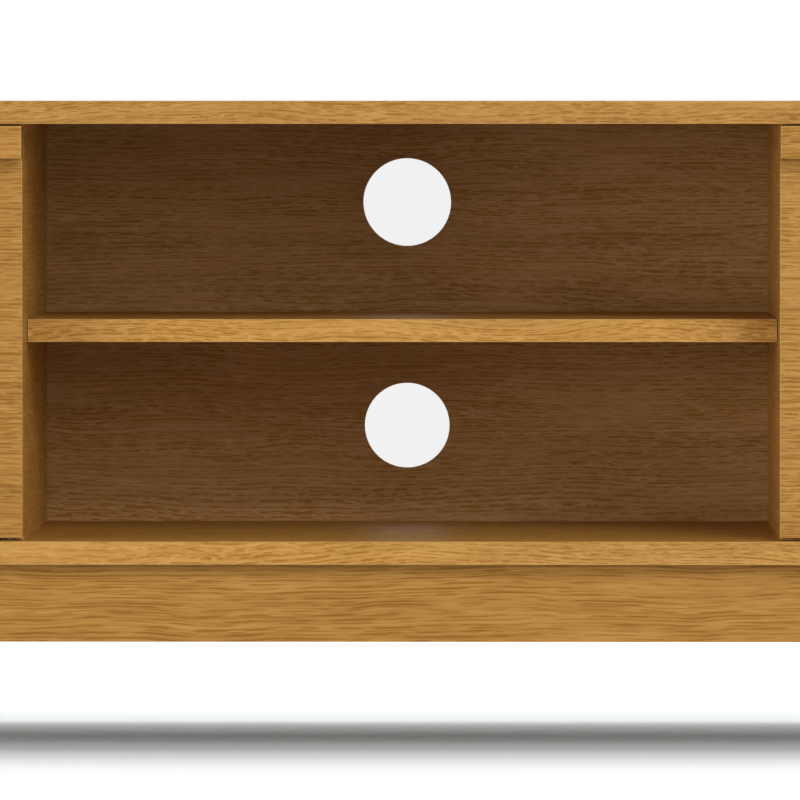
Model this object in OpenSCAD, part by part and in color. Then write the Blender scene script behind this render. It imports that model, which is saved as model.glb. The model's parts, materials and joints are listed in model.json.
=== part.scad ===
// Low oak-effect media cabinet. Two cupboards with pin-hung doors stand either side of an open bay
// with one shelf. The carcass stands on an apron frame with four turned legs.
// Millimetres. +Z is up, the front faces -Y, and the origin is on the floor under the cabinet's middle.

/* [Carcass] */
// Width across the top board
cabinet_w = 1200; // [1100:10:1400]
// Depth from the front edge of the top board to its back edge
cabinet_d = 390; // [380:5:430]
// Thickness of every board
board_t = 15; // [15:0.5:16]
// Clear height between the bottom board and the top board
inside_h = 272; // [262:2:300]
// Clear width of the open bay between the dividers
bay_w = 494; // [440:2:520]
// Distance from the front edge of the top board to the front edge of the bay's shelf
bay_shelf_setback = 80; // [60:5:100]
// Gap at each end of the bay's shelf
bay_shelf_gap = 0.5; // [0.2:0.1:1]

/* [Back] */
// Thickness of the back panels
back_t = 3; // [3:0.5:4]
// Distance from the front edge of the top board to the front face of the back panels
back_depth = 374; // [364:2:376]
// Diameter of the upper cable hole
upper_hole_d = 60; // [50:1:64]
// Height of the upper cable hole's centre above the floor
upper_hole_z = 356.5; // [340:0.5:365]
// Diameter of the lower cable hole
lower_hole_d = 58; // [50:1:64]
// Height of the lower cable hole's centre above the floor
lower_hole_z = 203.75; // [190:0.25:220]

/* [Doors] */
// Gap between the top of a door and the top board
door_top_gap = 1.5; // [1.5:0.1:3]
// Gap between the bottom of a door and the bottom board
door_bottom_gap = 2; // [2:0.1:3]
// Gap between the back of a door and the front edges of the uprights
door_back_gap = 3; // [3:0.1:4]
// How far a door's outer edge stays in from the end of the cabinet
door_end_gap = 1; // [0.5:0.5:2]
// Height of the finger-pull strip along the top of a door
strip_h = 21; // [18:1:30]
// Distance from a door's outer edge to its pivot axis
pivot_inset = 6; // [6:0.5:7]
// Radius of a pivot pin
pivot_r = 2.5; // [2:0.5:3]
// Radial clearance between a pivot pin and its bush
pivot_play = 0.05; // [0.02:0.01:0.1]

/* [Base] */
// Height of the apron rails' lower edge above the floor
apron_z = 72; // [60:2:90]
// Height of the apron rails
apron_h = 51; // [45:1:60]
// How far the apron rails stand back from the edges of the boards
apron_setback = 15; // [10:1:20]
// Radius of a leg at its top
leg_top_r = 20; // [16:1:22]
// Radius of a leg at its foot
leg_foot_r = 12.5; // [11:0.5:14]

/* [Hidden] */
$fn = 48;

oak = "#b98a48";
oak_dark = "#6b4a27";
beech = "#d9bf94";
steel = "silver";
zinc = "#8d8f92";
nylon = "#ece7da";
brown = "#5d4128";
black = "#2b2b2b";
clear = "#d8d8d4";

// Heights
bottom_z = apron_z + apron_h;
floor_z = bottom_z + board_t;
ceiling_z = floor_z + inside_h;
top_z = ceiling_z + board_t;

// Widths
half_w = cabinet_w / 2;
side_in_x = half_w - board_t;
divider_in_x = bay_w / 2;
divider_out_x = divider_in_x + board_t;
divider_mid_x = divider_in_x + board_t / 2;
side_mid_x = half_w - board_t / 2;

// Depths, all from the middle
front_y = -cabinet_d / 2;
rear_y = cabinet_d / 2;
door_face_y = front_y + board_t;
door_back_y = door_face_y + board_t;
upright_y = door_back_y + door_back_gap;
back_y = front_y + back_depth;
joiner_t = 1;
joiner_web = 1.2;
joiner_flange = 9;
divider_rear_y = back_y - joiner_t;

// Grooves that hold the back panels
groove_deep = 5.5;
groove_play = 0.2;
groove_x = side_in_x + groove_deep;
panel_in_groove = 5;

// Cam fittings and dowels between the uprights and the top and bottom boards
cam_y = [upright_y + 50, back_y - 49];
cam_r = 7.5;
cam_deep = 12.5;
cam_centre = 34;
bolt_thread_r = 3;
bolt_thread_l = 11;
bolt_shank_r = 2.2;
bolt_head_r = 3.5;
bolt_head_l = 4;
bolt_bore_r = 3.7;
dowel_y = [upright_y + 102, back_y - 99];
dowel_r = 4;
dowel_in_face = 10;
dowel_in_edge = 20;

// Shelves
shelf_z = floor_z + (inside_h - board_t) / 2;
shelf_rear_gap = 1;
shelf_end_gap = 1;
cupboard_shelf_setback = 40;
bay_dowel_r = 3;
bay_dowel_y = [-70, 110];
bay_dowel_in_divider = 10;
bay_dowel_in_shelf = 12;
pin_r = 2.5;
pin_in_panel = 8;
pin_out = 9;
pin_collar_r = 4;
pin_collar_t = 0.8;
pin_bore_deep = 9;
pin_y = [-100, 140];
pin_pitch = 32;
pin_z = [for (i = [-2:2]) shelf_z - pin_r + i * pin_pitch];

// Doors and their pivots
door_z0 = floor_z + door_bottom_gap;
door_z1 = ceiling_z - door_top_gap;
door_x0 = -half_w + door_end_gap;
door_x1 = -divider_in_x;
pivot_x = door_x0 + pivot_inset;
pivot_y = door_face_y + board_t / 2;
pin_in_door = 16;
bush_r = 4;
bush_deep = 8.5;
bush_flange_r = 6;
bush_flange_t = 1;
pin_in_bush = 8;
collar_r = 4.5;
collar_play = 0.05;
strip_z = door_z1 - strip_h;
strip_screw_z = door_z1 - strip_h / 2;
strip_screw_x = [door_x0 + 39, (door_x0 + door_x1) / 2, door_x1 - 39];
strip_screw_r = 1.75;
strip_screw_l = 25;
strip_head_r = 4;

// Magnetic catches under the top board, at the free edge of each door
catch_w = 46;
catch_h = 14;
catch_l = 30;
catch_x = -divider_out_x - 4 - catch_w / 2;
catch_y = upright_y;
catch_mid_z = ceiling_z - catch_h / 2;
magnet_w = 30;
magnet_h = 8;
magnet_l = 6;
closed_play = 0.3;
plate_t = 1;
magnet_proud = door_back_gap - plate_t - closed_play;
plate_w = 40;
plate_h = 11;
strike_screw_x = [-17, 17];
strike_screw_r = 1.25;
strike_screw_l = 10;
strike_head_r = 2.2;
catch_screw_r = 1.75;
catch_screw_in = 10;
catch_screw_x = [-17, 17];

// Bumpers on the dividers' front edges
bumper_z = [floor_z + 20, ceiling_z - 45];
bumper_r = 4;
bumper_t = door_back_gap - closed_play;

// Base frame
apron_x = half_w - apron_setback;
apron_front_y = front_y + apron_setback;
apron_rear_y = rear_y - apron_setback;
apron_dowel_z = [apron_z + 14, bottom_z - 14];
apron_dowel_half = 12;
cleat_w = 18;
cleat_l = 120;
cleat_h = 18;
cleat_screw_r = 2;
cleat_head_r = 4;
cleat_screw_in = 10;
leg_inset = 27;
leg_x = apron_x - board_t - leg_inset;
leg_front_y = apron_front_y + board_t + leg_inset;
leg_rear_y = apron_rear_y - board_t - leg_inset;
glide_r = 10;
glide_t = 4;
leg_plate_w = 52;
leg_plate_t = 2.5;
leg_plate_corner_r = 6;
leg_screw = 19;
leg_screw_r = 2;
leg_screw_in = 10;
hanger_r = 4;
hanger_in_leg = 30;
hanger_in_board = 10;
leg_top_z = bottom_z - leg_plate_t;

// Shapes

module block(lo, hi) {
    translate(lo) cube(hi - lo);
}

module rod_x(x0, x1, y, z, r) {
    translate([x0, y, z]) rotate([0, 90, 0]) cylinder(h = x1 - x0, r = r);
}

module rod_y(x, y0, y1, z, r) {
    translate([x, y0, z]) rotate([-90, 0, 0]) cylinder(h = y1 - y0, r = r);
}

module rod_z(x, y, z0, z1, r) {
    translate([x, y, z0]) cylinder(h = z1 - z0, r = r);
}

module on_the_right() {
    mirror([1, 0, 0]) children();
}

module on_both_sides() {
    children();
    on_the_right() children();
}

module countersunk_screw(length, shank_r, head_r) {
    // Its flat head face is at z = 0 and its point is up
    cylinder(h = length, r = shank_r);
    cylinder(h = head_r - shank_r, r1 = head_r, r2 = shank_r);
}

// Carcass boards

module upright_fixing_holes(z0, z1, dowel_z0, dowel_z1) {
    // The holes in the face of a top or bottom board for all four uprights
    on_both_sides()
        for (x = [-side_mid_x, -divider_mid_x]) {
            for (y = cam_y) rod_z(x, y, z0, z1, bolt_thread_r);
            for (y = dowel_y) rod_z(x, y, dowel_z0, dowel_z1, dowel_r);
        }
}

module back_groove(x0, x1, z0, z1) {
    block([x0, back_y, z0], [x1, back_y + back_t + groove_play, z1]);
}

module top_board() {
    color(oak)
        difference() {
            block([-half_w, front_y, ceiling_z], [half_w, rear_y, top_z]);
            upright_fixing_holes(ceiling_z, ceiling_z + bolt_thread_l, ceiling_z, ceiling_z + dowel_in_face);
            back_groove(-groove_x, groove_x, ceiling_z, ceiling_z + groove_deep);
            on_both_sides() {
                rod_z(pivot_x, pivot_y, ceiling_z, ceiling_z + bush_deep, bush_r);
                catch_screws_at();
            }
        }
}

module bottom_board() {
    color(oak)
        difference() {
            block([-half_w, front_y, bottom_z], [half_w, rear_y, floor_z]);
            upright_fixing_holes(floor_z - bolt_thread_l, floor_z, floor_z - dowel_in_face, floor_z);
            back_groove(-groove_x, groove_x, floor_z - groove_deep, floor_z);
            on_both_sides() rod_z(pivot_x, pivot_y, floor_z - bush_deep, floor_z, bush_r);
            each_leg() {
                rod_z(0, 0, bottom_z, bottom_z + hanger_in_board, hanger_r);
                leg_screw_places() rod_z(0, 0, bottom_z, bottom_z + leg_screw_in, leg_screw_r);
            }
            cleat_screw_places() rod_z(0, 0, bottom_z, bottom_z + cleat_screw_in, cleat_screw_r);
        }
}

module cam_and_dowel_holes(x, cam_x) {
    // The holes in one upright: cams from its cupboard side, bolts and dowels from its ends
    for (y = cam_y) {
        for (z = [floor_z + cam_centre, ceiling_z - cam_centre]) rod_x(cam_x, cam_x + cam_deep, y, z, cam_r);
        rod_z(x, y, floor_z, floor_z + cam_centre, bolt_bore_r);
        rod_z(x, y, ceiling_z - cam_centre, ceiling_z, bolt_bore_r);
    }
    for (y = dowel_y) {
        rod_z(x, y, floor_z, floor_z + dowel_in_edge, dowel_r);
        rod_z(x, y, ceiling_z - dowel_in_edge, ceiling_z, dowel_r);
    }
}

module shelf_pin_holes(x0, x1) {
    for (y = pin_y, z = pin_z) rod_x(x0, x1, y, z, pin_r);
}

module side_panel() {
    color(oak)
        difference() {
            block([-half_w, upright_y, floor_z], [-side_in_x, rear_y, ceiling_z]);
            cam_and_dowel_holes(-side_mid_x, -side_in_x - cam_deep);
            shelf_pin_holes(-side_in_x - pin_bore_deep, -side_in_x);
            back_groove(-groove_x, -side_in_x, floor_z, ceiling_z);
        }
}

module divider() {
    color(oak)
        difference() {
            block([-divider_out_x, upright_y, floor_z], [-divider_in_x, divider_rear_y, ceiling_z]);
            cam_and_dowel_holes(-divider_mid_x, -divider_out_x);
            shelf_pin_holes(-divider_out_x, -divider_out_x + pin_bore_deep);
            bay_shelf_dowels();
        }
}

// Shelves

module bay_shelf() {
    end_x = divider_in_x - bay_shelf_gap;
    color(oak)
        difference() {
            block([-end_x, front_y + bay_shelf_setback, shelf_z],
                  [end_x, back_y - shelf_rear_gap, shelf_z + board_t]);
            bay_shelf_dowels();
        }
}

module bay_shelf_dowels() {
    color(steel)
        on_both_sides()
            for (y = bay_dowel_y)
                rod_x(-divider_in_x - bay_dowel_in_divider, -divider_in_x + bay_dowel_in_shelf, y,
                      shelf_z + board_t / 2, bay_dowel_r);
}

module cupboard_shelf() {
    color(oak)
        block([-side_in_x + shelf_end_gap, upright_y + cupboard_shelf_setback, shelf_z],
              [-divider_out_x - shelf_end_gap, back_y - shelf_rear_gap, shelf_z + board_t]);
}

module shelf_pins() {
    pin_at_shelf = shelf_z - pin_r;
    color(steel)
        for (y = pin_y) {
            rod_x(-side_in_x - pin_in_panel, -side_in_x + pin_out, y, pin_at_shelf, pin_r);
            rod_x(-side_in_x, -side_in_x + pin_collar_t, y, pin_at_shelf, pin_collar_r);
            rod_x(-divider_out_x - pin_out, -divider_out_x + pin_in_panel, y, pin_at_shelf, pin_r);
            rod_x(-divider_out_x - pin_collar_t, -divider_out_x, y, pin_at_shelf, pin_collar_r);
        }
}

// Back

module back_panel(x0, x1) {
    block([x0, back_y, floor_z - panel_in_groove], [x1, back_y + back_t, ceiling_z + panel_in_groove]);
}

module centre_back_panel() {
    color(oak_dark)
        difference() {
            back_panel(-divider_mid_x + joiner_web / 2, divider_mid_x - joiner_web / 2);
            rod_y(0, back_y, back_y + back_t, upper_hole_z, upper_hole_d / 2);
            rod_y(0, back_y, back_y + back_t, lower_hole_z, lower_hole_d / 2);
        }
}

module cupboard_back_panel() {
    color(oak_dark) back_panel(-side_in_x - panel_in_groove, -divider_mid_x - joiner_web / 2);
}

module back_joiner() {
    // An H strip that joins two back panels behind a divider
    front = back_y - joiner_t;
    rear = back_y + back_t;
    color(brown)
        translate([-divider_mid_x, 0, 0]) {
            block([-board_t / 2, front, floor_z], [board_t / 2, back_y, ceiling_z]);
            block([-joiner_web / 2, front, floor_z], [joiner_web / 2, rear + joiner_t, ceiling_z]);
            block([-joiner_flange, rear, floor_z], [joiner_flange, rear + joiner_t, ceiling_z]);
        }
}

// Cam fittings and dowels

module at_each_upright() {
    on_both_sides()
        for (x = [-side_mid_x, -divider_mid_x]) translate([x, 0, 0]) children();
}

module cam_bolt() {
    // Thread upwards into a board, head down at the cam's centre, with the board's face at z = 0
    rod_z(0, 0, 0, bolt_thread_l, bolt_thread_r);
    rod_z(0, 0, -cam_centre, 0, bolt_shank_r);
    rod_z(0, 0, -cam_centre, -cam_centre + bolt_head_l, bolt_head_r);
}

module cam_lock(x0, x1, bolt_x) {
    // A zinc drum from x0 to x1 with a slot for the bolt's head and a cross for the screwdriver
    slot = 2 * bolt_head_r + 0.4;
    cross_l = 8;
    cross_w = 1.6;
    cross_deep = 2;
    difference() {
        rod_x(x0, x1, 0, 0, cam_r);
        block([bolt_x - slot / 2, -slot / 2, -slot / 2], [bolt_x + slot / 2, slot / 2, cam_r + 1]);
        for (side = [[cross_l, cross_w], [cross_w, cross_l]])
            block([x1 - cross_deep, -side[0] / 2, -side[1] / 2], [x1 + 1, side[0] / 2, side[1] / 2]);
    }
}

module cam_locks_at(x_side, z, up) {
    // Both drums of one upright, whose open faces look into the cupboard
    for (y = cam_y)
        translate([0, y, z])
            mirror([0, 0, up ? 0 : 1])
                if (x_side == "side")
                    cam_lock(-side_in_x - cam_deep, -side_in_x, -side_mid_x);
                else
                    mirror([1, 0, 0])
                        cam_lock(divider_out_x - cam_deep, divider_out_x, divider_mid_x);
}

module top_cam_bolts() {
    color(zinc) at_each_upright() for (y = cam_y) translate([0, y, ceiling_z]) cam_bolt();
}

module bottom_cam_bolts() {
    color(zinc) at_each_upright() for (y = cam_y) translate([0, y, floor_z]) mirror([0, 0, 1]) cam_bolt();
}

module cam_locks(z, up) {
    color(zinc)
        on_both_sides() {
            cam_locks_at("side", z, up);
            cam_locks_at("divider", z, up);
        }
}

module dowels(z0, z1) {
    color(beech) at_each_upright() for (y = dowel_y) rod_z(0, y, z0, z1, dowel_r);
}

// Base frame

module long_apron(y0) {
    difference() {
        block([-apron_x, y0, apron_z], [apron_x, y0 + board_t, bottom_z]);
        apron_dowel_rods();
    }
}

module side_apron() {
    color(oak)
        difference() {
            block([-apron_x, apron_front_y + board_t, apron_z],
                  [-apron_x + board_t, apron_rear_y - board_t, bottom_z]);
            apron_dowel_rods();
        }
}

module apron_dowel_rods() {
    // Two dowels where each side rail and the stretcher meet a long rail
    side_x = apron_x - board_t / 2;
    for (x = [-side_x, 0, side_x], y = [apron_front_y + board_t, apron_rear_y - board_t], z = apron_dowel_z)
        rod_y(x, y - apron_dowel_half, y + apron_dowel_half, z, dowel_r);
}

module centre_stretcher() {
    color(oak)
        difference() {
            block([-board_t / 2, apron_front_y + board_t, apron_z],
                  [board_t / 2, apron_rear_y - board_t, bottom_z]);
            apron_dowel_rods();
        }
}

module cleat_places() {
    // Each cleat's own frame has its middle at the origin, its length along X and the rail behind it at -Y
    for (x = [-apron_x / 2, apron_x / 2]) {
        translate([x, apron_front_y + board_t + cleat_w / 2, 0]) children();
        translate([x, apron_rear_y - board_t - cleat_w / 2, 0]) rotate([0, 0, 180]) children();
    }
    on_both_sides() translate([-apron_x + board_t + cleat_w / 2, 0, 0]) rotate([0, 0, -90]) children();
}

module cleat_screw_places() {
    cleat_places() for (x = [-cleat_l / 3, cleat_l / 3]) translate([x, 0, 0]) children();
}

module cleat_screw() {
    translate([0, 0, bottom_z - cleat_h])
        countersunk_screw(cleat_h + cleat_screw_in, cleat_screw_r, cleat_head_r);
}

module apron_cleats() {
    color(beech)
        difference() {
            cleat_places()
                block([-cleat_l / 2, -cleat_w / 2, bottom_z - cleat_h], [cleat_l / 2, cleat_w / 2, bottom_z]);
            cleat_screw_places() cleat_screw();
        }
}

// Legs

module each_leg() {
    for (x = [-leg_x, leg_x], y = [leg_front_y, leg_rear_y]) translate([x, y, 0]) children();
}

module leg(x, y) {
    color(oak)
        translate([x, y, 0])
            difference() {
                translate([0, 0, glide_t]) cylinder(h = leg_top_z - glide_t, r1 = leg_foot_r, r2 = leg_top_r);
                rod_z(0, 0, leg_top_z - hanger_in_leg, leg_top_z, hanger_r);
            }
}

module leg_screw_places() {
    for (x = [-leg_screw, leg_screw], y = [-leg_screw, leg_screw]) translate([x, y, 0]) children();
}

module leg_plate_screw() {
    head_r = 3.5;
    head_l = 1.5;
    rod_z(0, 0, leg_top_z, bottom_z + leg_screw_in, leg_screw_r);
    rod_z(0, 0, leg_top_z - head_l, leg_top_z, head_r);
}

module leg_plate_blank() {
    // A square plate with round corners
    half = leg_plate_w / 2;
    inner = half - leg_plate_corner_r;
    block([-half, -inner, leg_top_z], [half, inner, bottom_z]);
    block([-inner, -half, leg_top_z], [inner, half, bottom_z]);
    for (x = [-inner, inner], y = [-inner, inner]) rod_z(x, y, leg_top_z, bottom_z, leg_plate_corner_r);
}

module leg_plates() {
    color(steel)
        each_leg()
            difference() {
                leg_plate_blank();
                rod_z(0, 0, leg_top_z, bottom_z, hanger_r);
                leg_screw_places() rod_z(0, 0, leg_top_z, bottom_z, leg_screw_r);
            }
}

// Catches and bumpers

module catch_body() {
    color(nylon)
        difference() {
            block([catch_x - catch_w / 2, catch_y, ceiling_z - catch_h],
                  [catch_x + catch_w / 2, catch_y + catch_l, ceiling_z]);
            catch_magnet_block();
            catch_screws_at();
        }
}

module catch_magnet_block() {
    block([catch_x - magnet_w / 2, catch_y - magnet_proud, catch_mid_z - magnet_h / 2],
          [catch_x + magnet_w / 2, catch_y + magnet_l, catch_mid_z + magnet_h / 2]);
}

module catch_screws_at() {
    head_r = 3.5;
    head_l = 2;
    for (dx = catch_screw_x)
        translate([catch_x + dx, catch_y + catch_l / 2, 0]) {
            rod_z(0, 0, ceiling_z - catch_h, ceiling_z + catch_screw_in, catch_screw_r);
            rod_z(0, 0, ceiling_z - catch_h, ceiling_z - catch_h + head_l, head_r);
        }
}

module bumpers() {
    tip_t = 1;
    tip_y = upright_y - bumper_t;
    color(clear)
        for (z = bumper_z) {
            rod_y(-divider_mid_x, tip_y + tip_t, upright_y, z, bumper_r);
            rod_y(-divider_mid_x, tip_y, tip_y + tip_t, z, bumper_r - 1);
        }
}

// Door pivots

module pivot_bushes() {
    color(nylon)
        difference() {
            union() {
                rod_z(pivot_x, pivot_y, ceiling_z, ceiling_z + bush_deep, bush_r);
                rod_z(pivot_x, pivot_y, ceiling_z - bush_flange_t, ceiling_z, bush_flange_r);
                rod_z(pivot_x, pivot_y, floor_z - bush_deep, floor_z, bush_r);
                rod_z(pivot_x, pivot_y, floor_z, floor_z + bush_flange_t, bush_flange_r);
            }
            rod_z(pivot_x, pivot_y, ceiling_z - bush_flange_t, ceiling_z + bush_deep, pivot_r + pivot_play);
            rod_z(pivot_x, pivot_y, floor_z - bush_deep, floor_z + bush_flange_t, pivot_r + pivot_play);
        }
}

module pivot_pins() {
    color(steel) {
        rod_z(pivot_x, pivot_y, door_z1 - pin_in_door, ceiling_z + pin_in_bush, pivot_r);
        rod_z(pivot_x, pivot_y, floor_z - pin_in_bush, door_z0 + pin_in_door, pivot_r);
        rod_z(pivot_x, pivot_y, floor_z + bush_flange_t + collar_play, door_z0, collar_r);
    }
}

// Doors, drawn on the left

module strip_screws() {
    color(zinc)
        for (x = strip_screw_x)
            translate([x, door_back_y, strip_screw_z])
                rotate([90, 0, 0]) countersunk_screw(strip_screw_l, strip_screw_r, strip_head_r);
}

module door_panel() {
    color(oak)
        difference() {
            block([door_x0, door_face_y, door_z0], [door_x1, door_back_y, door_z1]);
            pivot_pins();
            strip_screws();
            strike_screws();
        }
}

module finger_pull() {
    color(oak)
        difference() {
            block([door_x0, front_y, strip_z], [door_x1, door_face_y, door_z1]);
            strip_screws();
        }
}

module strike_screws() {
    color(zinc)
        for (dx = strike_screw_x)
            translate([catch_x + dx, door_back_y + plate_t, catch_mid_z])
                rotate([90, 0, 0]) countersunk_screw(strike_screw_l, strike_screw_r, strike_head_r);
}

module strike_plate() {
    color(steel)
        difference() {
            block([catch_x - plate_w / 2, door_back_y, catch_mid_z - plate_h / 2],
                  [catch_x + plate_w / 2, door_back_y + plate_t, catch_mid_z + plate_h / 2]);
            strike_screws();
        }
}

top_board();
bottom_board();
side_panel();  // left_side_panel
on_the_right() side_panel();  // right_side_panel
divider();  // left_divider
on_the_right() divider();  // right_divider
bay_shelf();
bay_shelf_dowels();
cupboard_shelf();  // left_shelf
on_the_right() cupboard_shelf();  // right_shelf
shelf_pins();  // left_shelf_pins
on_the_right() shelf_pins();  // right_shelf_pins
centre_back_panel();
cupboard_back_panel();  // left_back_panel
on_the_right() cupboard_back_panel();  // right_back_panel
back_joiner();  // left_back_joiner
on_the_right() back_joiner();  // right_back_joiner
top_cam_bolts();
cam_locks(ceiling_z - cam_centre, true);  // top_cam_locks
bottom_cam_bolts();
cam_locks(floor_z + cam_centre, false);  // bottom_cam_locks
dowels(ceiling_z - dowel_in_edge, ceiling_z + dowel_in_face);  // top_dowels
dowels(floor_z - dowel_in_face, floor_z + dowel_in_edge);  // bottom_dowels
color(oak) long_apron(apron_front_y);  // front_apron
color(oak) long_apron(apron_rear_y - board_t);  // rear_apron
side_apron();  // left_apron
on_the_right() side_apron();  // right_apron
centre_stretcher();
color(beech) apron_dowel_rods();  // apron_dowels
apron_cleats();
color(zinc) cleat_screw_places() cleat_screw();  // cleat_screws
leg(-leg_x, leg_front_y);  // front_left_leg
leg(leg_x, leg_front_y);  // front_right_leg
leg(-leg_x, leg_rear_y);  // rear_left_leg
leg(leg_x, leg_rear_y);  // rear_right_leg
leg_plates();
color(zinc) each_leg() leg_screw_places() leg_plate_screw();  // leg_plate_screws
color(zinc) each_leg() rod_z(0, 0, leg_top_z - hanger_in_leg, bottom_z + hanger_in_board, hanger_r);  // leg_hanger_bolts
color(black) each_leg() rod_z(0, 0, 0, glide_t, glide_r);  // leg_glides
catch_body();  // left_catch
on_the_right() catch_body();  // right_catch
color(black) catch_magnet_block();  // left_catch_magnet
color(black) on_the_right() catch_magnet_block();  // right_catch_magnet
color(zinc) on_both_sides() catch_screws_at();  // catch_screws
bumpers();  // left_door_bumpers
on_the_right() bumpers();  // right_door_bumpers
pivot_bushes();  // left_pivot_bushes
on_the_right() pivot_bushes();  // right_pivot_bushes
door_panel();  // left_door_panel
finger_pull();  // left_finger_pull
strip_screws();  // left_finger_pull_screws
pivot_pins();  // left_pivot_pins
strike_plate();  // left_strike_plate
strike_screws();  // left_strike_screws
on_the_right() door_panel();  // right_door_panel
on_the_right() finger_pull();  // right_finger_pull
on_the_right() strip_screws();  // right_finger_pull_screws
on_the_right() pivot_pins();  // right_pivot_pins
on_the_right() strike_plate();  // right_strike_plate
on_the_right() strike_screws();  // right_strike_screws
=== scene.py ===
import json
import math
from collections import namedtuple

import bmesh
import bpy
from mathutils import Matrix, Vector


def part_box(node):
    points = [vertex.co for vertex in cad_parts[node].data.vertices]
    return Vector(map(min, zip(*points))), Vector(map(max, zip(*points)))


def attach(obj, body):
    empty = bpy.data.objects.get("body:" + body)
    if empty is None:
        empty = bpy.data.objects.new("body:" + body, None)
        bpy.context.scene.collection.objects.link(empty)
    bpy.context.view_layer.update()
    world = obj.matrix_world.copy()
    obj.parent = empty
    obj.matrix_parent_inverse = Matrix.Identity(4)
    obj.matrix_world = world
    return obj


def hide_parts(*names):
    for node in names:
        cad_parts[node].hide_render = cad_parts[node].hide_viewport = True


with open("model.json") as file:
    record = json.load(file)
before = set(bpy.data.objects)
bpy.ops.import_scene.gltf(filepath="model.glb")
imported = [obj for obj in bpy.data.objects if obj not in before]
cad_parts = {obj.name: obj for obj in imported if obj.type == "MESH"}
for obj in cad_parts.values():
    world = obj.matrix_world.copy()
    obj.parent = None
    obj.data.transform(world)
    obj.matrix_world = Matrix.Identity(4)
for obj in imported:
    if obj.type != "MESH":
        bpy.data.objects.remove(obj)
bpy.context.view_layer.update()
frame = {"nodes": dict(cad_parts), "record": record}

nodes = frame["nodes"]
low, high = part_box("top_board")
height = high.z

# ---------------------------------------------------------------- camera


def add_camera(eye, target, lens):
    data = bpy.data.cameras.new("camera")
    data.lens = lens
    data.sensor_width = 36
    data.clip_end = 200
    camera = bpy.data.objects.new("camera", data)
    bpy.context.scene.collection.objects.link(camera)
    camera.location = eye
    camera.rotation_euler = (Vector(target) - Vector(eye)).to_track_quat("-Z", "Y").to_euler()
    bpy.context.scene.camera = camera


front_y = low.y
add_camera(eye=(0.0842, front_y - 7.143, 0.4083), target=(-0.0005, front_y, 0.2303), lens=494.2)

# ---------------------------------------------------------------- material tools


class Shader:
    """A new material's node tree, with short calls for the nodes used here."""

    def __init__(self, name):
        self.material = bpy.data.materials.new(name)
        self.material.use_nodes = True
        self.tree = self.material.node_tree
        self.tree.nodes.clear()
        self.output = self.node("ShaderNodeOutputMaterial")

    def node(self, kind, **values):
        made = self.tree.nodes.new(kind)
        for key, value in values.items():
            setattr(made, key, value)
        return made

    def plug(self, socket, value):
        """Links a socket to another node's output, or sets it to a constant."""
        if isinstance(value, bpy.types.NodeSocket):
            self.tree.links.new(socket, value)
        elif isinstance(value, (tuple, list)) and len(value) == 3 and len(socket.default_value) == 4:
            socket.default_value = (*value, 1)
        else:
            socket.default_value = value

    def math(self, operation, a, b=0.0, c=0.0, clamp=False):
        made = self.node("ShaderNodeMath", operation=operation, use_clamp=clamp)
        for socket, value in zip(made.inputs, (a, b, c)):
            self.plug(socket, value)
        return made.outputs[0]

    def vector(self, operation, a, b):
        made = self.node("ShaderNodeVectorMath", operation=operation)
        self.plug(made.inputs[0], a)
        self.plug(made.inputs[1], b)
        return made.outputs[0]

    def object_point(self):
        return self.node("ShaderNodeTexCoord").outputs["Object"]

    def object_normal(self):
        return self.node("ShaderNodeTexCoord").outputs["Normal"]

    def split(self, vector):
        made = self.node("ShaderNodeSeparateXYZ")
        self.plug(made.inputs[0], vector)
        return made.outputs

    def noise(self, point, scale, detail=2.0, roughness=0.5):
        made = self.node("ShaderNodeTexNoise")
        self.plug(made.inputs["Vector"], point)
        made.inputs["Scale"].default_value = scale
        made.inputs["Detail"].default_value = detail
        made.inputs["Roughness"].default_value = roughness
        return made.outputs["Fac"]

    def ramp(self, value, *stops):
        """Maps a number through (position, level) stops, levels being greys from 0 to 1."""
        made = self.node("ShaderNodeValToRGB")
        elements = made.color_ramp.elements
        while len(elements) < len(stops):
            elements.new(0.5)
        for element, (position, level) in zip(elements, stops):
            element.position = position
            element.color = (level, level, level, 1)
        self.plug(made.inputs[0], value)
        return made.outputs[0]

    def mix(self, amount, a, b, blend="MIX"):
        made = self.node("ShaderNodeMix", data_type="RGBA", blend_type=blend)
        self.plug(made.inputs[0], amount)
        self.plug(made.inputs[6], a)
        self.plug(made.inputs[7], b)
        return made.outputs[2]

    def bump(self, height_value, strength, distance):
        made = self.node("ShaderNodeBump")
        made.inputs["Strength"].default_value = strength
        made.inputs["Distance"].default_value = distance
        self.plug(made.inputs["Height"], height_value)
        return made.outputs[0]

    def finish(self, color, roughness, normal=None, alpha=None, **constants):
        surface = self.node("ShaderNodeBsdfPrincipled")
        self.plug(surface.inputs["Base Color"], color)
        self.plug(surface.inputs["Roughness"], roughness)
        if normal is not None:
            self.plug(surface.inputs["Normal"], normal)
        if alpha is not None:
            self.plug(surface.inputs["Alpha"], alpha)
        for key, value in constants.items():
            surface.inputs[key.replace("_", " ")].default_value = value
        self.tree.links.new(surface.outputs[0], self.output.inputs[0])
        return self.material


# ---------------------------------------------------------------- oak

OAK_BASE = (0.492, 0.252, 0.052)
OAK_PALE = (0.547, 0.292, 0.070)
# The colour of a painted highlight along the boards' arrises, where edge tape meets the faces
PAINTED_ARRIS_HIGHLIGHT = (0.660, 0.400, 0.130)
PORE_SHADE = (0.62, 0.51, 0.10)
CHIPBOARD = (0.52, 0.36, 0.20)
CHIP_DARK = (0.22, 0.12, 0.05)
BACKING = (0.42, 0.38, 0.33)

# Tones multiply the oak's colour
PLAIN = (1.0, 1.0, 1.0)
BACK_TONE = (0.93, 0.975, 1.62)

# Depths of the relief that a bump may show, and the width of the painted highlight along an arris, in
# metres
RELIEF = 0.0002
FINE_RELIEF = 0.0001
PAINTED_HIGHLIGHT_WIDTH = 0.0006

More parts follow.
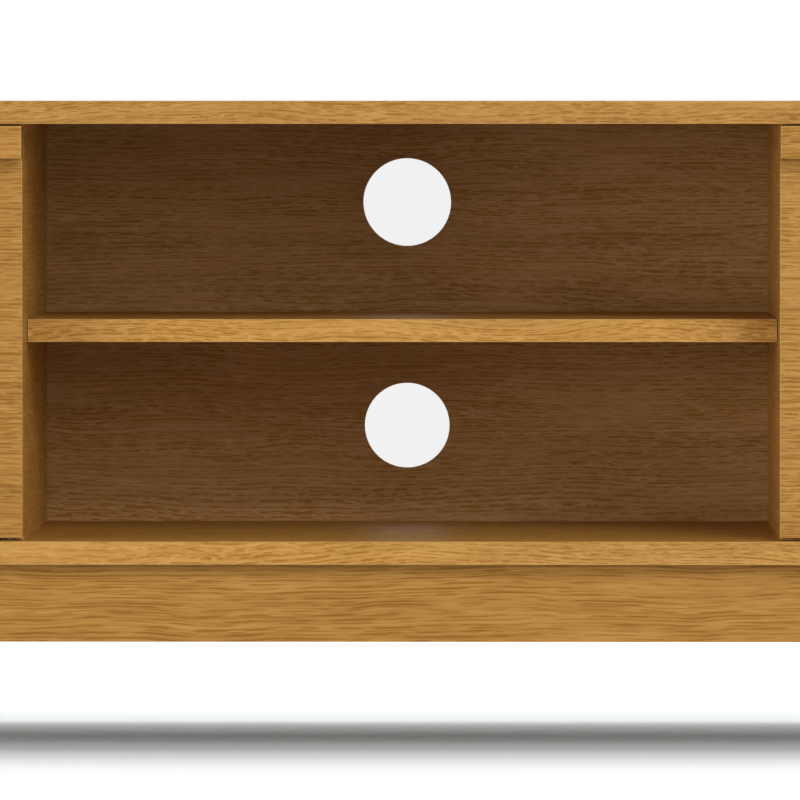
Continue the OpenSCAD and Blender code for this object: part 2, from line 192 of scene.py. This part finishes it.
# dash: a pore's length in metres. fineness: rows of pores per metre.
# wave: how far a row wanders sideways, in metres. strength: how dark the pores are.
Grain = namedtuple("Grain", "dash fineness wave strength")
EDGE_GRAIN = Grain(0.010, 290, 0.012, 1.55)
PANEL_GRAIN = Grain(0.014, 290, 0.004, 1.75)
RAIL_GRAIN = Grain(0.028, 250, 0.007, 1.50)
BACK_GRAIN = Grain(0.010, 280, 0.007, 1.45)
FLOOR_BOARD_GRAIN = EDGE_GRAIN._replace(strength=1.30)


def along_grain(shader, point, axis, stretch):
    """Coordinates squeezed along the grain, so a round pattern turns into streaks."""
    scale = [1.0, 1.0, 1.0]
    scale["XYZ".index(axis)] = 1.0 / stretch
    return shader.vector("MULTIPLY", point, tuple(scale))


def pore_rows(shader, along, across, dash, fineness, width):
    """Rows of thin dashes along the grain. Each row has its own place in its strip and its own dashes."""
    place = shader.math("MULTIPLY", across, fineness)
    row = shader.math("FLOOR", place)
    scatter = shader.node("ShaderNodeTexWhiteNoise", noise_dimensions="1D")
    shader.plug(scatter.inputs["W"], row)
    middle = shader.math("MULTIPLY_ADD", scatter.outputs["Value"], 0.5, 0.25)
    offset = shader.math("ABSOLUTE", shader.math("SUBTRACT", shader.math("SUBTRACT", place, row), middle))
    line = shader.ramp(offset, (0.0, 1.0), (width, 0.0))
    spot = shader.node("ShaderNodeCombineXYZ")
    shader.plug(spot.inputs[0], shader.math("MULTIPLY", along, 1.0 / dash))
    shader.plug(spot.inputs[1], shader.math("MULTIPLY", row, 1.37))
    dashes = shader.ramp(shader.noise(spot.outputs[0], 1.0, 1.0), (0.40, 0.0), (0.58, 1.0))
    return shader.math("MULTIPLY", line, dashes)


def taped_point(shader, name, axis):
    """Object coordinates, but with the grain of a board's end faces along the face, as on edge tape."""
    point = shader.object_point()
    corner_low, corner_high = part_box(name)
    size = corner_high - corner_low
    grain_way = "XYZ".index(axis)
    tape_way = max((k for k in range(3) if k != grain_way), key=lambda k: size[k])
    parts = list(shader.split(point))
    parts[grain_way], parts[tape_way] = parts[tape_way], parts[grain_way]
    turned_point = shader.node("ShaderNodeCombineXYZ")
    for socket, part in zip(turned_point.inputs, parts):
        shader.plug(socket, part)
    facing = shader.math("ABSOLUTE", shader.split(shader.object_normal())[grain_way])
    return shader.mix(shader.math("GREATER_THAN", facing, 0.7), point, turned_point.outputs[0])


def oak_pattern(shader, axis, shift, grain, tone=PLAIN, name=None):
    """The colour and relief of oak: faint bands and figure, with rows of dark pores that come and go.

    With a board's name, its end faces are taped.
    """
    point = taped_point(shader, name, axis) if name else shader.object_point()
    place = shader.vector("ADD", point, shift)
    slow = shader.noise(along_grain(shader, place, axis, 2.5), 18.0, 1.0)
    quick = shader.noise(along_grain(shader, place, axis, 4.0), 110.0, 1.0)
    lift = shader.math("MULTIPLY", shader.math("SUBTRACT", slow, 0.5), grain.wave)
    lift = shader.math("ADD", lift, shader.math("MULTIPLY", shader.math("SUBTRACT", quick, 0.5), 0.0015))
    bend = shader.node("ShaderNodeCombineXYZ")
    for socket in bend.inputs:
        shader.plug(socket, lift)
    bent = shader.vector("ADD", place, bend.outputs[0])
    parts = shader.split(bent)
    along = parts["XYZ".index(axis)]
    across = shader.math("ADD", *[part for part in parts if part != along])

    def streaks(stretch, scale, detail):
        return shader.noise(along_grain(shader, bent, axis, stretch), scale, detail)

    bands = shader.ramp(streaks(24.0, 50.0, 1.0), (0.30, 0.94), (0.70, 1.05))
    figure = shader.ramp(streaks(12.0, 190.0, 1.0), (0.40, 0.0), (0.64, 1.0))
    patches = shader.ramp(streaks(6.0, 60.0, 1.0), (0.35, 0.55), (0.60, 1.0))
    coarse = pore_rows(shader, along, across, grain.dash, grain.fineness, 0.28)
    medium = pore_rows(shader, along, across, 0.8 * grain.dash, 1.63 * grain.fineness, 0.32)
    fine = pore_rows(shader, along, across, 1.2 * grain.dash, 2.9 * grain.fineness, 0.40)
    dark = shader.math("MAXIMUM", coarse, shader.math("MULTIPLY", medium, 0.8))
    dark = shader.math("MAXIMUM", dark, shader.math("MULTIPLY", fine, 0.5))
    dark = shader.math("MULTIPLY", shader.math("MULTIPLY", dark, patches), grain.strength, clamp=True)
    color = shader.mix(figure, OAK_BASE, OAK_PALE)
    color = shader.mix(dark, color, PORE_SHADE, "MULTIPLY")
    color = shader.mix(1.0, color, bands, "MULTIPLY")
    if tone != PLAIN:
        color = shader.mix(1.0, color, tone, "MULTIPLY")
    return color, dark


def painted_highlight_mask(shader, name):
    """1 within a hair's breadth of a board's edges and 0 elsewhere: the mask of a painted highlight along
    the arrises, drawn where edge tape meets the faces.
    """
    corner_low, corner_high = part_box(name)
    distances = []
    for value, start, end in zip(shader.split(shader.object_point()), corner_low, corner_high):
        from_start = shader.math("ABSOLUTE", shader.math("SUBTRACT", value, start))
        from_end = shader.math("ABSOLUTE", shader.math("SUBTRACT", end, value))
        distances.append(shader.math("MINIMUM", from_start, from_end))
    first, second, third = distances
    nearest_two = shader.math("MINIMUM", shader.math("MAXIMUM", first, second), third)
    middle = shader.math("MAXIMUM", shader.math("MINIMUM", first, second), nearest_two)
    return shader.math("LESS_THAN", middle, PAINTED_HIGHLIGHT_WIDTH)


RAW_REAR_EDGE = ["top_board", "bottom_board", "bay_shelf", "left_shelf", "right_shelf", "left_side_panel",
                 "right_side_panel", "left_divider", "right_divider"]


def raw_chipboard(shader):
    point = shader.object_point()
    flakes = shader.noise(shader.vector("MULTIPLY", point, (0.5, 1.0, 1.0)), 520.0, 3.0, 0.7)
    return shader.mix(shader.ramp(flakes, (0.40, 0.0), (0.62, 1.0)), CHIPBOARD, CHIP_DARK)


def oak_board(name, axis, shift, grain, tone):
    """Laminated board: satin oak print, most with a raw rear edge, and plain paper under the lowest."""
    shader = Shader("oak_" + name)
    color, pores = oak_pattern(shader, axis, shift, grain, tone, name)
    # A painted highlight lightens the board along its arrises
    color = shader.mix(shader.math("MULTIPLY", painted_highlight_mask(shader, name), 0.2), color, PAINTED_ARRIS_HIGHLIGHT)
    facing = shader.split(shader.object_normal())
    if name in RAW_REAR_EDGE:
        color = shader.mix(shader.math("GREATER_THAN", facing[1], 0.8), color, raw_chipboard(shader))
    if name == "bottom_board":
        color = shader.mix(shader.math("LESS_THAN", facing[2], -0.8), color, BACKING)
    sheen = shader.ramp(shader.noise(shader.object_point(), 140.0, 2.0), (0.3, 0.42), (0.7, 0.52))
    normal = shader.bump(shader.math("MULTIPLY", pores, -1.0), 0.2, RELIEF)
    return shader.finish(color, sheen, normal, Specular_IOR_Level=0.3)


def hardboard(name, shift, tone):
    """Thin back panel: oak print in front, brown pressed fibre behind and on the cut rims."""
    shader = Shader(name)
    color, pores = oak_pattern(shader, "X", shift, BACK_GRAIN, tone)
    fibre_noise = shader.noise(shader.object_point(), 900.0, 4.0, 0.7)
    fibre_mix = shader.ramp(fibre_noise, (0.3, 0.0), (0.7, 1.0))
    fibre = shader.mix(fibre_mix, (0.10, 0.052, 0.024), (0.19, 0.105, 0.05))
    printed = shader.math("LESS_THAN", shader.split(shader.object_normal())[1], -0.5)
    color = shader.mix(printed, fibre, color)
    normal = shader.bump(fibre_noise, 0.12, RELIEF)
    return shader.finish(color, 0.6, normal, Specular_IOR_Level=0.25)


def turned_oak(name, shift):
    shader = Shader(name)
    color, pores = oak_pattern(shader, "Z", shift, PANEL_GRAIN)
    normal = shader.bump(shader.math("MULTIPLY", pores, -1.0), 0.3, RELIEF)
    return shader.finish(color, 0.38, normal, Specular_IOR_Level=0.4)


# ---------------------------------------------------------------- hardware materials


def beech(name):
    shader = Shader(name)
    flecks = shader.noise(along_grain(shader, shader.object_point(), "X", 6.0), 700.0, 2.0)
    tone = shader.noise(shader.object_point(), 30.0, 2.0)
    fleck_mix = shader.ramp(flecks, (0.45, 0.0), (0.65, 1.0))
    color = shader.mix(fleck_mix, (0.66, 0.47, 0.28), (0.48, 0.30, 0.15))
    color = shader.mix(shader.ramp(tone, (0.3, 0.0), (0.7, 0.25)), color, (0.78, 0.60, 0.40))
    return shader.finish(color, 0.62, shader.bump(flecks, 0.15, RELIEF))


def metal(name, bright, dark, roughness, fine):
    """Plated steel with a slightly uneven finish and fine tool marks."""
    shader = Shader(name)
    marks = shader.noise(shader.vector("MULTIPLY", shader.object_point(), (1, 1, 6)), fine, 3.0, 0.6)
    blotches = shader.noise(shader.object_point(), 90.0, 2.0)
    color = shader.mix(shader.ramp(blotches, (0.35, 0.0), (0.65, 1.0)), bright, dark)
    rough = shader.ramp(marks, (0.3, roughness - 0.06), (0.7, roughness + 0.08))
    return shader.finish(color, rough, shader.bump(marks, 0.08, FINE_RELIEF), Metallic=1.0)


def plastic(name, color, fleck, roughness, grain, **constants):
    """Moulded plastic with a fine spark-eroded grain."""
    shader = Shader(name)
    grain_noise = shader.noise(shader.object_point(), grain, 2.0, 0.6)
    cloud = shader.noise(shader.object_point(), 60.0, 2.0)
    shade = shader.mix(shader.ramp(cloud, (0.3, 0.0), (0.7, 1.0)), color, fleck)
    rough = shader.ramp(grain_noise, (0.3, roughness - 0.05), (0.7, roughness + 0.05))
    return shader.finish(shade, rough, shader.bump(grain_noise, 0.12, FINE_RELIEF), **constants)


# ---------------------------------------------------------------- which node wears what


WELD = 0.00001
BOARD_ROUNDING = 0.0005
LEG_ROUNDING = 0.0008


def dress(name, material):
    target = nodes[name]
    target.data.materials.clear()
    target.data.materials.append(material)


def soften(name, radius):
    """Rounds a node's sharp edges."""
    target = nodes[name]
    weld = target.modifiers.new("weld", "WELD")
    weld.merge_threshold = WELD
    bevel = target.modifiers.new("bevel", "BEVEL")
    bevel.width = radius
    bevel.segments = 2
    bevel.limit_method = "ANGLE"
    bevel.angle_limit = math.radians(40)
    bevel.harden_normals = True


# Each board's grain direction, grain and tone. The tones make up for uneven light from the front, so they
# differ between boards that are the same laminate.
BOARDS = {
    "top_board": ("X", EDGE_GRAIN, (0.87, 0.85, 0.83)),
    "bottom_board": ("X", FLOOR_BOARD_GRAIN, (0.99, 0.99, 1.0)),
    "bay_shelf": ("X", EDGE_GRAIN, (1.06, 1.06, 1.08)),
    "left_shelf": ("X", PANEL_GRAIN, PLAIN),
    "right_shelf": ("X", PANEL_GRAIN, PLAIN),
    "front_apron": ("X", RAIL_GRAIN, (0.87, 0.82, 0.67)),
    "rear_apron": ("X", RAIL_GRAIN, (0.87, 0.82, 0.67)),
    "left_door_panel": ("X", PANEL_GRAIN, (0.81, 0.77, 0.66)),
    "right_door_panel": ("X", PANEL_GRAIN, (0.89, 0.87, 0.82)),
    "left_finger_pull": ("X", PANEL_GRAIN, (0.80, 0.75, 0.62)),
    "right_finger_pull": ("X", PANEL_GRAIN, (0.83, 0.79, 0.68)),
    "left_side_panel": ("Y", PANEL_GRAIN, PLAIN),
    "right_side_panel": ("Y", PANEL_GRAIN, PLAIN),
    "left_divider": ("Y", PANEL_GRAIN, (1.04, 1.02, 1.0)),
    "right_divider": ("Y", PANEL_GRAIN, (1.10, 1.09, 1.10)),
    "left_apron": ("Y", RAIL_GRAIN, (0.87, 0.82, 0.67)),
    "right_apron": ("Y", RAIL_GRAIN, (0.87, 0.82, 0.67)),
    "centre_stretcher": ("Y", RAIL_GRAIN, (0.87, 0.82, 0.67)),
}
for number, (name, (axis, grain, tone)) in enumerate(BOARDS.items()):
    shift = (0.37 * number, 0.61 * number, 0.23 * number)
    dress(name, oak_board(name, axis, shift, grain, tone))
    soften(name, BOARD_ROUNDING)

for number, name in enumerate(["centre_back_panel", "left_back_panel", "right_back_panel"]):
    dress(name, hardboard("hardboard_" + name, (0.9 + number, 1.7, 0.4 * number), BACK_TONE))

for number, name in enumerate(["front_left_leg", "front_right_leg", "rear_left_leg", "rear_right_leg"]):
    dress(name, turned_oak("oak_" + name, (0.3 * number, 0.7, 0.5 * number)))
    soften(name, LEG_ROUNDING)

BEECH = beech("beech")
ZINC = metal("zinc", (0.62, 0.63, 0.64), (0.50, 0.51, 0.50), 0.38, 900.0)
NICKEL = metal("nickel", (0.72, 0.71, 0.69), (0.62, 0.61, 0.60), 0.26, 1200.0)
NYLON = plastic("white_nylon", (0.80, 0.78, 0.73), (0.76, 0.73, 0.67), 0.45, 2500.0)
BROWN = plastic("brown_plastic", (0.13, 0.07, 0.035), (0.10, 0.055, 0.028), 0.5, 2500.0)
FELT = plastic("black_felt", (0.025, 0.025, 0.026), (0.045, 0.044, 0.043), 0.9, 3000.0)
FERRITE = plastic("ferrite", (0.045, 0.045, 0.05), (0.06, 0.058, 0.056), 0.55, 1800.0)
CLEAR = plastic("clear_bumper", (0.80, 0.80, 0.77), (0.72, 0.72, 0.68), 0.25, 1500.0,
                Transmission_Weight=0.6)

# Nodes whose CAD shape stays, with the width of the rounding on their edges
KEPT = {
    BEECH: (0.0008, ["apron_cleats"]),
    ZINC: (0.0002, ["top_cam_locks", "bottom_cam_locks"]),
    NICKEL: (0.0003, ["bay_shelf_dowels", "left_shelf_pins", "right_shelf_pins", "leg_plates",
                      "left_pivot_pins", "right_pivot_pins", "left_strike_plate", "right_strike_plate"]),
    NYLON: (0.0006, ["left_catch", "right_catch", "left_pivot_bushes", "right_pivot_bushes"]),
    BROWN: (0.0002, ["left_back_joiner", "right_back_joiner"]),
    FERRITE: (0.0004, ["left_catch_magnet", "right_catch_magnet"]),
}
for material, (radius, names) in KEPT.items():
    for name in names:
        dress(name, material)
        soften(name, radius)

# ---------------------------------------------------------------- turned and threaded pieces

MM = 0.001
RINGS_PER_TURN = 6


def solid_boxes(name):
    """The low and high corners of each separate solid in a CAD node."""
    shape = bmesh.new()
    shape.from_mesh(nodes[name].data)
    bmesh.ops.remove_doubles(shape, verts=shape.verts, dist=WELD)
    shape.verts.index_update()
    seen = set()
    boxes = []
    for start in shape.verts:
        if start.index in seen:
            continue
        seen.add(start.index)
        waiting = [start]
        found = []
        while waiting:
            vert = waiting.pop()
            found.append(vert.co.copy())
            for edge in vert.link_edges:
                other = edge.other_vert(vert)
                if other.index not in seen:
                    seen.add(other.index)
                    waiting.append(other)
        corners = [[pick(point[k] for point in found) for k in range(3)] for pick in (min, max)]
        boxes.append((Vector(corners[0]), Vector(corners[1])))
    shape.free()
    return boxes


def stitch(shape, loops):
    """Closes a stack of loops, each with the same number of points, into one skin with flat ends."""
    for lower, upper in zip(loops, loops[1:]):
        for k in range(len(lower)):
            after = (k + 1) % len(lower)
            shape.faces.new((lower[k], lower[after], upper[after], upper[k]))
    shape.faces.new(reversed(loops[0]))
    shape.faces.new(loops[-1])


def turned(rings, sides):
    """A solid from rings along +Z. A ring is (z, radius), and a radius may be a function of the angle."""
    shape = bmesh.new()
    loops = []
    for z, radius in rings:
        loop = []
        for k in range(sides):
            angle = 2 * math.pi * k / sides
            reach = radius(angle) if callable(radius) else radius
            loop.append(shape.verts.new((reach * math.cos(angle), reach * math.sin(angle), z)))
        loops.append(loop)
    stitch(shape, loops)
    return shape


def thread(start, end, core, crest, pitch):
    """Rings of a screw thread whose crest climbs one pitch each turn and fades out at both ends."""
    steps = round((end - start) / pitch * RINGS_PER_TURN)

    def ring(z):
        fade = min(1.0, (z - start) / pitch, (end - z) / pitch)

        def radius(angle):
            phase = (z / pitch - angle / (2 * math.pi)) % 1.0
            ridge = max(0.0, 1.0 - abs(phase - 0.5) / 0.3)
            return core + (crest - core) * ridge * fade

        return z, radius

    return [ring(start + (end - start) * step / steps) for step in range(steps + 1)]


def to_object(shape, name):
    mesh = bpy.data.meshes.new(name)
    shape.to_mesh(mesh)
    shape.free()
    made = bpy.data.objects.new(name, mesh)
    bpy.context.scene.collection.objects.link(made)
    return made


def with_cross_recess(shape, reach, width, depth):
    """The mesh of a screw with a tapered cross sunk into its head, which is at z = 0."""
    half = width / 2
    corner = [(reach, -half), (reach, half), (half, half)]
    cutter = bmesh.new()
    loops = []
    for z, scale in ((-0.2 * MM, 1.05), (depth, 0.6)):
        loop = []
        for quarter in range(4):
            turn = Matrix.Rotation(quarter * math.pi / 2, 3, "Z")
            for x, y in corner:
                loop.append(cutter.verts.new(turn @ Vector((x * scale, y * scale, z))))
        loops.append(loop)
    stitch(cutter, loops)
    target, tool = to_object(shape, "blank"), to_object(cutter, "cutter")
    cut = target.modifiers.new("cut", "BOOLEAN")
    cut.operation = "DIFFERENCE"
    cut.solver = "EXACT"
    cut.object = tool
    result = bpy.data.meshes.new_from_object(target.evaluated_get(bpy.context.evaluated_depsgraph_get()))
    bpy.data.objects.remove(target)
    bpy.data.objects.remove(tool)
    return result


def screw(length, shank, head, flush, head_depth):
    """A wood screw with its head's face at z = 0 and its point along +Z."""
    core = 0.68 * shank
    if flush:
        neck = head - shank
        rings = [(0.0, head - 0.2 * MM), (0.12 * MM, head - 0.12 * MM), (neck, 0.9 * shank)]
    else:
        neck = head_depth
        rings = [(0.0, 0.82 * head), (0.25 * head_depth, 0.95 * head), (0.55 * head_depth, head)]
        rings += [(neck, head), (neck + 0.02 * MM, 0.9 * shank)]
    point = length - 1.6 * shank
    rings.append((neck + 1.5 * shank, 0.9 * shank))
    rings += thread(neck + 1.7 * shank, point, core, shank, 0.72 * shank)
    rings.append((length, 0.15 * shank))
    return with_cross_recess(turned(rings, 24), 0.55 * head, 0.24 * head, 0.75 * max(neck, head_depth))


def plain_mesh(shape):
    mesh = bpy.data.meshes.new("turned")
    shape.to_mesh(mesh)
    shape.free()
    return mesh


def fluted_dowel(length, radius):
    chamfer = 0.9 * MM
    flutes = 16

    def grooved(angle):
        return radius - 0.35 * MM * max(0.0, math.cos(flutes * angle)) ** 3

    rings = [(0.0, radius - chamfer), (chamfer, grooved)]
    rings += [(length - chamfer, grooved), (length, radius - chamfer)]
    return plain_mesh(turned(rings, 6 * flutes))


def cam_bolt(length, radius):
    """A cam fitting's bolt, with its ball head at z = 0 and its wood thread at the far end."""
    shank, collar = 2.2 * MM, 3.0 * MM
    face = length - 11 * MM
    rings = [(0.0, 0.55 * radius), (0.5 * MM, 0.85 * radius), (1.2 * MM, radius), (2.8 * MM, radius),
             (3.5 * MM, 0.85 * radius), (4.0 * MM, 1.6 * MM), (7.0 * MM, 1.6 * MM), (7.6 * MM, shank),
             (face - 0.1 * MM, shank), (face, collar), (face + 0.8 * MM, collar),
             (face + 0.9 * MM, shank)]
    rings += thread(face + 1.0 * MM, length - 1.5 * MM, shank, collar, 1.6 * MM)
    rings.append((length, 1.0 * MM))
    return plain_mesh(turned(rings, 24))


def hanger_bolt(length, radius):
    """A stud with a wood thread from z = 0, for the leg, and a machine thread above it."""
    core = 0.75 * radius
    middle = 0.62 * length
    rings = [(0.0, 0.2 * radius)]
    rings += thread(1.2 * radius, middle, core, radius, 3.0 * MM)
    rings += [(middle + 0.5 * MM, core), (middle + 3 * MM, core)]
    rings += thread(middle + 3.2 * MM, length - 1.0 * MM, 0.86 * radius, radius, 1.25 * MM)
    rings.append((length, 0.75 * radius))
    return plain_mesh(turned(rings, 24))


def bumper(length, radius):
    """A soft dome on a short straight rim."""
    rim = 0.3 * MM
    rings = [(0.0, radius - 0.1 * MM), (rim, radius)]
    steepest = math.radians(82)
    for step in range(1, 9):
        angle = step / 8 * steepest
        rise = (length - rim) * math.sin(angle) / math.sin(steepest)
        rings.append((rim + rise, radius * math.cos(angle)))
    return plain_mesh(turned(rings, 32))


def felt_pad(length, radius):
    rings = [(0.0, radius - 0.9 * MM), (0.2 * MM, radius - 0.4 * MM), (0.7 * MM, radius - 0.1 * MM),
             (1.2 * MM, radius), (length - 0.5 * MM, radius), (length, radius - 0.3 * MM)]
    return plain_mesh(turned(rings, 48))


def countersunk(shank):
    return lambda length, radius: screw(length, shank, radius, True, 0.0)


def pan_head(shank, head_depth):
    return lambda length, radius: screw(length, shank, radius, False, head_depth)


def remake(name, maker, direction, material):
    """Replaces every solid of a CAD node with a detailed one of the same length and radius.

    direction points from a piece's head, which is its z = 0 end, to its far end.
    """
    toward = Vector(direction)
    along = [abs(value) for value in direction].index(1)
    boxes = solid_boxes(name)
    size = boxes[0][1] - boxes[0][0]
    pattern = maker(size[along], size[(along + 1) % 3] / 2)
    turn = toward.to_track_quat("Z", "Y").to_matrix().to_4x4()
    shape = bmesh.new()
    for corner_low, corner_high in boxes:
        half = (corner_high - corner_low) / 2
        head = (corner_low + corner_high) / 2 - toward * half[along]
        first_new = len(shape.verts)
        shape.from_mesh(pattern)
        shape.verts.ensure_lookup_table()
        bmesh.ops.transform(shape, matrix=Matrix.Translation(head) @ turn, verts=shape.verts[first_new:])
    bpy.data.meshes.remove(pattern)
    piece = to_object(shape, "detailed_" + name)
    piece.data.shade_smooth()
    piece.data.set_sharp_from_angle(angle=math.radians(35))
    piece.data.materials.append(material)
    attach(piece, BODY_OF[name])
    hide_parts(name)


BODY_OF = {node: body for body, names in frame["record"]["behaviour"]["bodies"].items() for node in names}
UP, DOWN, TO_FRONT = (0, 0, 1), (0, 0, -1), (0, -1, 0)

remake("cleat_screws", countersunk(2.0 * MM), UP, ZINC)
remake("leg_plate_screws", pan_head(2.0 * MM, 1.5 * MM), UP, ZINC)
remake("catch_screws", pan_head(1.75 * MM, 2.0 * MM), UP, ZINC)
remake("leg_hanger_bolts", hanger_bolt, UP, ZINC)
remake("top_cam_bolts", cam_bolt, UP, ZINC)
remake("bottom_cam_bolts", cam_bolt, DOWN, ZINC)
remake("top_dowels", fluted_dowel, UP, BEECH)
remake("bottom_dowels", fluted_dowel, UP, BEECH)
remake("apron_dowels", fluted_dowel, TO_FRONT, BEECH)
remake("leg_glides", felt_pad, UP, FELT)
for side in ("left", "right"):
    remake(side + "_finger_pull_screws", countersunk(1.75 * MM), TO_FRONT, ZINC)
    remake(side + "_strike_screws", countersunk(1.25 * MM), TO_FRONT, ZINC)
    remake(side + "_door_bumpers", bumper, TO_FRONT, CLEAR)

# ---------------------------------------------------------------- floor and light


FLOOR_RADIUS = 4.5
FADE_START, FADE_END = 1.9, 3.8


def add_floor():
    """A round pale floor, which bounces less light onto the cabinet than it shows.

    Far from the cabinet it fades into the surround, so there is no line at its edge.
    """
    mesh = bpy.data.meshes.new("floor")
    shape = bmesh.new()
    bmesh.ops.create_circle(shape, cap_ends=True, segments=96, radius=FLOOR_RADIUS)
    shape.to_mesh(mesh)
    shape.free()
    floor = bpy.data.objects.new("floor", mesh)
    bpy.context.scene.collection.objects.link(floor)
    shader = Shader("floor")
    mottle = shader.noise(shader.object_point(), 3.0, 2.0)
    seen = shader.mix(mottle, (0.92, 0.96, 0.99), (0.94, 0.98, 1.0))
    from_camera = shader.node("ShaderNodeLightPath").outputs["Is Camera Ray"]
    color = shader.mix(from_camera, (0.50, 0.50, 0.50), seen)
    distance = shader.node("ShaderNodeVectorMath", operation="LENGTH")
    shader.plug(distance.inputs[0], shader.object_point())
    reach = shader.math("DIVIDE", distance.outputs["Value"], FLOOR_RADIUS)
    fade = shader.ramp(reach, (FADE_START / FLOOR_RADIUS, 0.0), (FADE_END / FLOOR_RADIUS, 1.0))
    solid = shader.math("SUBTRACT", 1.0, shader.math("MULTIPLY", fade, from_camera))
    mesh.materials.append(shader.finish(color, 0.9, alpha=solid, Specular_IOR_Level=0.0))
    return floor


def add_area_light(name, place, target, size, size_y, power, only=None):
    data = bpy.data.lights.new(name, "AREA")
    data.shape = "RECTANGLE"
    data.size = size
    data.size_y = size_y
    data.energy = power
    light = bpy.data.objects.new(name, data)
    bpy.context.scene.collection.objects.link(light)
    light.location = place
    light.rotation_euler = (Vector(target) - Vector(place)).to_track_quat("-Z", "Y").to_euler()
    light.visible_camera = False
    if only is not None:
        lit = bpy.data.collections.new(name + "_lit")
        lit.objects.link(only)
        light.light_linking.receiver_collection = lit


def set_world(ambient, seen, low_seen):
    """A white surround, a shade greyer below the horizon, which lights the room less than it shows."""
    world = bpy.data.worlds.new("studio")
    bpy.context.scene.world = world
    world.use_nodes = True
    tree = world.node_tree
    background = tree.nodes["Background"]
    background.inputs["Color"].default_value = (1, 1, 1, 1)
    direction = tree.nodes.new("ShaderNodeTexCoord")
    parts = tree.nodes.new("ShaderNodeSeparateXYZ")
    tree.links.new(direction.outputs["Generated"], parts.inputs[0])
    ramp = tree.nodes.new("ShaderNodeMapRange")
    ramp.inputs["From Min"].default_value = -0.0025
    ramp.inputs["From Max"].default_value = -0.0005
    ramp.inputs["To Min"].default_value = low_seen
    ramp.inputs["To Max"].default_value = seen
    tree.links.new(parts.outputs[2], ramp.inputs["Value"])
    rays = tree.nodes.new("ShaderNodeLightPath")
    level = tree.nodes.new("ShaderNodeMix")
    level.inputs[2].default_value = ambient
    tree.links.new(rays.outputs["Is Camera Ray"], level.inputs[0])
    tree.links.new(ramp.outputs[0], level.inputs[3])
    tree.links.new(level.outputs[0], background.inputs["Strength"])


def add_softbox(name, azimuth, elevation, power):
    """A 3 m by 2.4 m box, 8 m away. Azimuth is in degrees from straight ahead, to the right."""
    around, up = math.radians(azimuth), math.radians(elevation)
    centre = Vector((0, front_y, height / 2))
    toward = Vector((math.sin(around) * math.cos(up), -math.cos(around) * math.cos(up), math.sin(up)))
    add_area_light(name, centre + 8.0 * toward, centre, 3.0, 2.4, power)


floor = add_floor()
set_world(ambient=0.51, seen=1.02, low_seen=0.88)
add_softbox("low_left", -45, 0, 250.0)
add_softbox("low_right", 45, 0, 50.0)
add_softbox("key", 20, 28, 185.0)
add_softbox("fill_right", 30, 14, 115.0)
add_softbox("fill_left", -15, 28, 20.0)
add_area_light("top", (0, 0.6, 3.2), (0, 0.6, 0), 3.5, 3.5, 35.0)
add_area_light("floor_wash", (0, 0.62, 4.0), (0, 0.62, 0), 9.0, 1.2, 58.0, only=floor)
add_area_light("floor_wash_rear", (0, 4.5, 3.5), (0, 0, 0), 7.0, 3.0, 60.0, only=floor)
add_area_light("floor_wash_low", (0, 6.0, 2.5), (0, 0, 0), 7.0, 3.0, 149.0, only=floor)

scene = bpy.context.scene
scene.view_settings.view_transform = "Standard"
scene.view_settings.look = "None"
scene.view_settings.exposure = 0
scene.view_settings.gamma = 1
